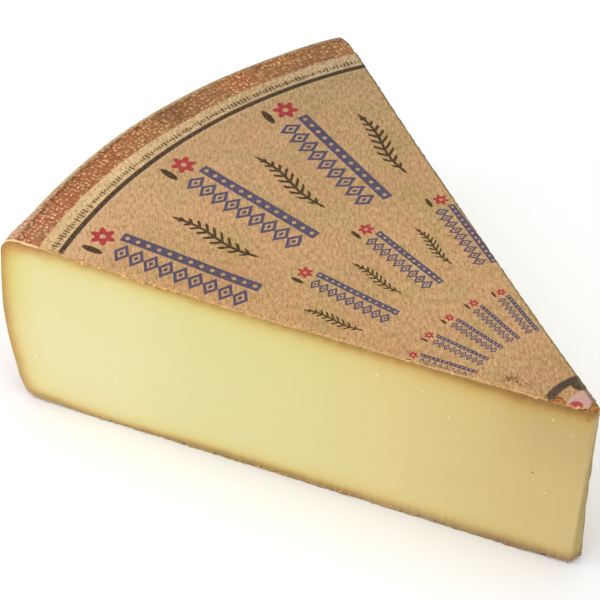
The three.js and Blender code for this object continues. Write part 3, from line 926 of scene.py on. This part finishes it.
cheese_mesh = make_cheese()
for edge in cheese_mesh.edges:
    sides = {f.material_index for f in edge.link_faces}
    steep = edge.is_manifold and edge.calc_face_angle(0.0) > math.radians(40)
    edge.smooth = not steep and len(sides) == 1
skin_places(cheese_mesh)
fray(cheese_mesh)
wander(cheese_mesh)
to_object(cheese_mesh, "cut_cheese", [rind_material(), paste_material()], "cheese")


# The label

LABEL_STEPS = 172
LABEL_RINGS = 186
FINE_LABEL_RADIUS, FINE_LABEL_RINGS = 34.0, 56
LABEL_LIFT = 0.12
PRINT_FACE, TORN_FACE = 0, 1
TORN_PATCH = ((-27, -13), (-24.6, -8.4), (-24.2, -5.6), (-22.8, -4.2), (-21.2, -4.8), (-19.8, -5.4),
              (-18.2, -5.6), (-17.4, -6.4), (-16.4, -8), (-18, -13))
TORN_POINT = ((-12.6, -8), (-12, -4.6), (-10.4, -3.9), (-9.4, -2.2), (-9.4, -0.6), (-10.5, 1.0), (-10.8, 2.6),
              (-9.6, 3.8), (-8.6, 5), (0, 5), (0, -8))


def inside(x, y, outline):
    """True if (x, y) lies inside a closed outline."""
    hit = False
    for (ax, ay), (bx, by) in zip(outline, outline[1:] + outline[:1]):
        if (ay > y) != (by > y) and x < ax + (bx - ax) * (y - ay) / (by - ay):
            hit = not hit
    return hit


def paper_height(x, y):
    return top_height(math.hypot(x, y)) + top_wave(x, y) + LABEL_LIFT


def make_label():
    bm = bmesh.new()
    radii = steps(LABEL_RADIUS - 0.1, FINE_LABEL_RADIUS, LABEL_RINGS)
    radii += steps(FINE_LABEL_RADIUS, 6.0, FINE_LABEL_RINGS)
    line = [bm.verts.new(near_along * r) for r in radii]
    edges = [bm.edges.new(pair) for pair in zip(line, line[1:])]
    bmesh.ops.spin(bm, geom=[*line, *edges], cent=(0, 0, 0), axis=(0, 0, 1),
                   angle=FAR_TURN - NEAR_TURN, steps=LABEL_STEPS)
    bmesh.ops.bisect_plane(bm, geom=[*bm.verts, *bm.edges, *bm.faces], dist=1e-5, clear_outer=True,
                           plane_co=(-LABEL_TIP_SETBACK, 0, 0), plane_no=(1, 0, 0))
    torn = []
    noise.seed_set(5)  # noise_vector starts from the clock unless it is seeded
    for face in bm.faces:
        x, y, _ = face.calc_center_median()
        shake = noise.noise_vector(Vector((x, y, 3.0)) * 0.9) * 0.9
        if x > -30 and any(inside(x + shake.x, y + shake.y, o) for o in (TORN_PATCH, TORN_POINT)):
            torn.append(face)
    bmesh.ops.delete(bm, geom=torn, context="FACES")
    bmesh.ops.recalc_face_normals(bm, faces=bm.faces)
    if next(iter(bm.faces)).normal.z < 0:
        bmesh.ops.reverse_faces(bm, faces=bm.faces)
    for vert in bm.verts:
        x, y, z = vert.co
        vert.co.z = paper_height(x, y)
        if vert.is_boundary and math.hypot(x, y) < LABEL_RADIUS - 1:
            normal = near_normal if y < 0 else far_normal
            lift = roughness_at((x, y, 0), 2.4, 5.0)
            vert.co += normal * 0.35 * roughness_at((x, y, 0), 1.9, 7.0)
            vert.co.z += max(0.0, 0.5 * lift)
    bmesh.ops.solidify(bm, geom=bm.faces, thickness=-LABEL_THICKNESS)
    bmesh.ops.recalc_face_normals(bm, faces=bm.faces)
    for face in bm.faces:
        face.material_index = TORN_FACE if abs(face.normal.z) < 0.5 else PRINT_FACE
    return bm


to_object(make_label(), "paper_label", [label_material(), torn_paper_material()], "label")


# Torn bits of the label along its near cut and around the torn places

# Each as (distance from the wheel's axis, length, width)
CURLS = (
    (256.5, 6.5, 1.5), (248.0, 2.6, 0.8), (233.5, 7.0, 1.6), (226.5, 5.0, 1.2), (217.0, 7.5, 1.5),
    (209.0, 4.5, 1.1), (197.0, 3.0, 0.8), (171.0, 2.6, 0.7), (128.0, 3.4, 0.8), (94.0, 2.4, 0.7),
    (73.0, 2.4, 0.7), (33.0, 2.6, 1.0),
)
CURL_THICKNESS = 0.3
LABEL_TOP = 0.38  # the printed face, above paper_height


def add_curl(bm, rho, length, width, dice):
    """A thin strip of the label's edge, rolled up and over the cut."""
    strip = bmesh.ops.create_grid(bm, x_segments=max(5, int(length * 1.6)), y_segments=4, size=0.5)["verts"]
    seed = dice.uniform(0, 50)
    for vert in strip:
        u, v = vert.co.x, vert.co.y + 0.5
        taper = 1 - (2 * abs(u)) ** 3
        out = (v * 1.25 - 0.45) * width * (0.35 + 0.65 * taper)
        out += 0.25 * roughness_at((u * length, v, 0), 1.5, seed)
        lift = 0.55 * math.sin(v * math.pi * 0.8) * width * taper * 0.55
        rough = 0.22 * roughness_at((u * length, v * 2, 3), 1.2, seed)
        spot = near_along * (rho + u * length) + near_normal * out
        vert.co = spot
        droop = 0.9 * max(0.0, out) ** 2 / width
        vert.co.z = paper_height(spot.x, spot.y) + LABEL_TOP + lift + rough - droop


def make_curls():
    bm = bmesh.new()
    dice = random.Random(7)
    for rho, length, width in CURLS:
        add_curl(bm, rho, length, width, dice)
    bmesh.ops.recalc_face_normals(bm, faces=bm.faces)
    bmesh.ops.solidify(bm, geom=bm.faces, thickness=-CURL_THICKNESS)
    bmesh.ops.recalc_face_normals(bm, faces=bm.faces)
    return bm


to_object(make_curls(), "torn_label_curls", [torn_paper_material()])


# Grains and crumbs


def add_grain(bm, place, size, normal, flat, dice, detail=1):
    """A small lump, pressed flat along its normal, with its middle at place."""
    lump = bmesh.ops.create_icosphere(bm, subdivisions=detail, radius=size / 2)["verts"]
    seed = dice.uniform(0, 80)
    for vert in lump:
        vert.co *= 1 + 0.35 * roughness_at(vert.co, size * 0.7, seed)
    squash = Matrix.Diagonal((1, 1, flat, 1))
    spin = Matrix.Rotation(dice.uniform(0, math.tau), 4, "Z")
    turn = Vector(normal).to_track_quat("Z", "Y").to_matrix().to_4x4()
    bmesh.ops.transform(bm, matrix=Matrix.Translation(place) @ turn @ squash @ spin, verts=lump)


# Crystals that show on the near cut, as (distance from the wheel's axis, height, size)
NEAR_CRYSTALS = (
    (108.5, 83.9, 1.6), (86.3, 82.3, 1.5), (73.1, 71.1, 1.6), (68.4, 79.3, 0.9), (54.2, 82.2, 1.0),
    (56.0, 61.9, 1.4), (24.2, 88.8, 1.5), (24.1, 41.4, 1.5), (15.4, 82.4, 1.0), (147.0, 60.0, 0.9),
    (269.4, 77.2, 1.4), (285.7, 65.0, 1.2), (244.3, 90.0, 1.2), (257.0, 87.0, 1.1), (240.8, 55.3, 2.0),
    (230.5, 57.5, 1.1),
    (283.0, 29.7, 1.8), (263.8, 33.4, 1.2), (248.2, 21.8, 1.7), (240.7, 28.4, 1.9), (219.6, 43.4, 1.4),
    (211.7, 86.3, 1.2), (183.0, 31.0, 1.0), (268.5, 46.0, 1.0),
)
FAR_CRYSTALS = 16
CRYSTAL_FLATNESS = 0.35


def make_crystals():
    bm = bmesh.new()
    dice = random.Random(19)
    for rho, z, size in NEAR_CRYSTALS:
        spot = near_along * rho + Vector((0, 0, z))
        add_grain(bm, spot, size * 0.9, near_normal, CRYSTAL_FLATNESS, dice, 2)
    for _ in range(FAR_CRYSTALS):
        spot = far_along * dice.uniform(20, 280)
        spot.z = dice.uniform(14, 88)
        add_grain(bm, spot, dice.uniform(0.9, 1.6), far_normal, CRYSTAL_FLATNESS, dice, 2)
    return bm


to_object(make_crystals(), "ripening_crystals", [crystal_material()])


NEAR_PALE_CRUMBS, FAR_PALE_CRUMBS = 130, 10
BASE_SHREDS = (164.0, 153.5, 124.0, 99.5)  # where shreds hang together on the near cut's base edge
SHRED_BITS = 6


def make_pale_crumbs():
    """Pale bits of torn paper and rind along the label's cut edges, and shreds on the base edge."""
    bm = bmesh.new()
    dice = random.Random(23)
    sides = ((near_normal, near_along, NEAR_PALE_CRUMBS), (far_normal, far_along, FAR_PALE_CRUMBS))
    for normal, along, count in sides:
        for _ in range(count):
            spot = along * dice.uniform(12, 270)
            spot -= normal * abs(dice.gauss(0, 0.9))
            spot.z = paper_height(spot.x, spot.y) + LABEL_TOP
            add_grain(bm, spot, dice.uniform(0.5, 1.25), (0, 0, 1), 0.55, dice)
    for rho in BASE_SHREDS:
        for _ in range(SHRED_BITS):
            spot = near_along * (rho + dice.gauss(0, 1.8)) + near_normal * 0.15
            spot.z = dice.uniform(1.1, 2.0)
            add_grain(bm, spot, dice.uniform(0.9, 1.8), near_normal, 0.5, dice)
    return bm


to_object(make_pale_crumbs(), "pale_crumbs", [torn_paper_material()])


DIRT_CRUMBS, NEAR_DARK_CRUMBS, FAR_DARK_CRUMBS = 34, 60, 40
FACE_CRUMB = (31.2, 52.1, 0.9)  # one on the near cut: distance from the wheel's axis, height and size


def make_dark_crumbs():
    """Brown rind crumbs near the point and along the base edge of both cuts."""
    bm = bmesh.new()
    dice = random.Random(31)
    dirt = Vector(DIRT_PLACE)
    for _ in range(DIRT_CRUMBS):
        spot = dirt + near_along * dice.gauss(0, 5.5) + near_normal * dice.gauss(0, 1.9)
        spot.z = paper_height(spot.x, spot.y) + LABEL_TOP + 0.02
        add_grain(bm, spot, dice.uniform(0.5, 1.2), (0, 0, 1), 0.4, dice)
    sides = ((near_normal, near_along, NEAR_DARK_CRUMBS), (far_normal, far_along, FAR_DARK_CRUMBS))
    for normal, along, count in sides:
        for _ in range(count):
            spot = along * dice.uniform(10, 286) + normal * 0.1
            spot.z = dice.uniform(0.7, 1.6)
            add_grain(bm, spot, dice.uniform(0.3, 0.9), normal, 0.5, dice)
    rho, z, size = FACE_CRUMB
    add_grain(bm, near_along * rho + Vector((0, 0, z)), size, near_normal, 0.4, dice, 2)
    return bm


to_object(make_dark_crumbs(), "dark_crumbs", [crumb_material()])


# The floor and the light, in metres

FLOOR_HALF_SIZE = 6.0
SKY_STRENGTH = 0.62


def make_floor():
    bm = bmesh.new()
    bmesh.ops.create_grid(bm, x_segments=2, y_segments=2, size=FLOOR_HALF_SIZE)
    mesh = bpy.data.meshes.new("floor")
    bm.to_mesh(mesh)
    bm.free()
    floor = bpy.data.objects.new("floor", mesh)
    mesh.materials.append(floor_material())
    bpy.context.scene.collection.objects.link(floor)


def make_lamp(name, place, target, size, power, colour):
    data = bpy.data.lights.new(name, "AREA")
    data.size = size
    data.energy = power
    data.color = linear(colour)[:3]
    lamp = bpy.data.objects.new(name, data)
    away = Vector(place) - Vector(target)
    lamp.matrix_world = Matrix.Translation(place) @ away.to_track_quat("Z", "Y").to_matrix().to_4x4()
    bpy.context.scene.collection.objects.link(lamp)


def make_light():
    world = bpy.data.worlds.new("studio")
    world.use_nodes = True
    sky = world.node_tree.nodes["Background"]
    sky.inputs["Color"].default_value = linear("#ffffff")
    sky.inputs["Strength"].default_value = SKY_STRENGTH
    bpy.context.scene.world = world
    make_lamp("overhead_softbox", (-0.25, -0.25, 1.8), (0.0, 0.0, 0.0), 2.2, 22.0, "#ffffff")
    make_lamp("front_softbox", (-0.8, -1.1, 0.5), (-0.08, -0.06, 0.04), 0.8, 4.0, "#ffffff")
    bpy.context.scene.view_settings.view_transform = "Standard"


make_floor()
make_light()
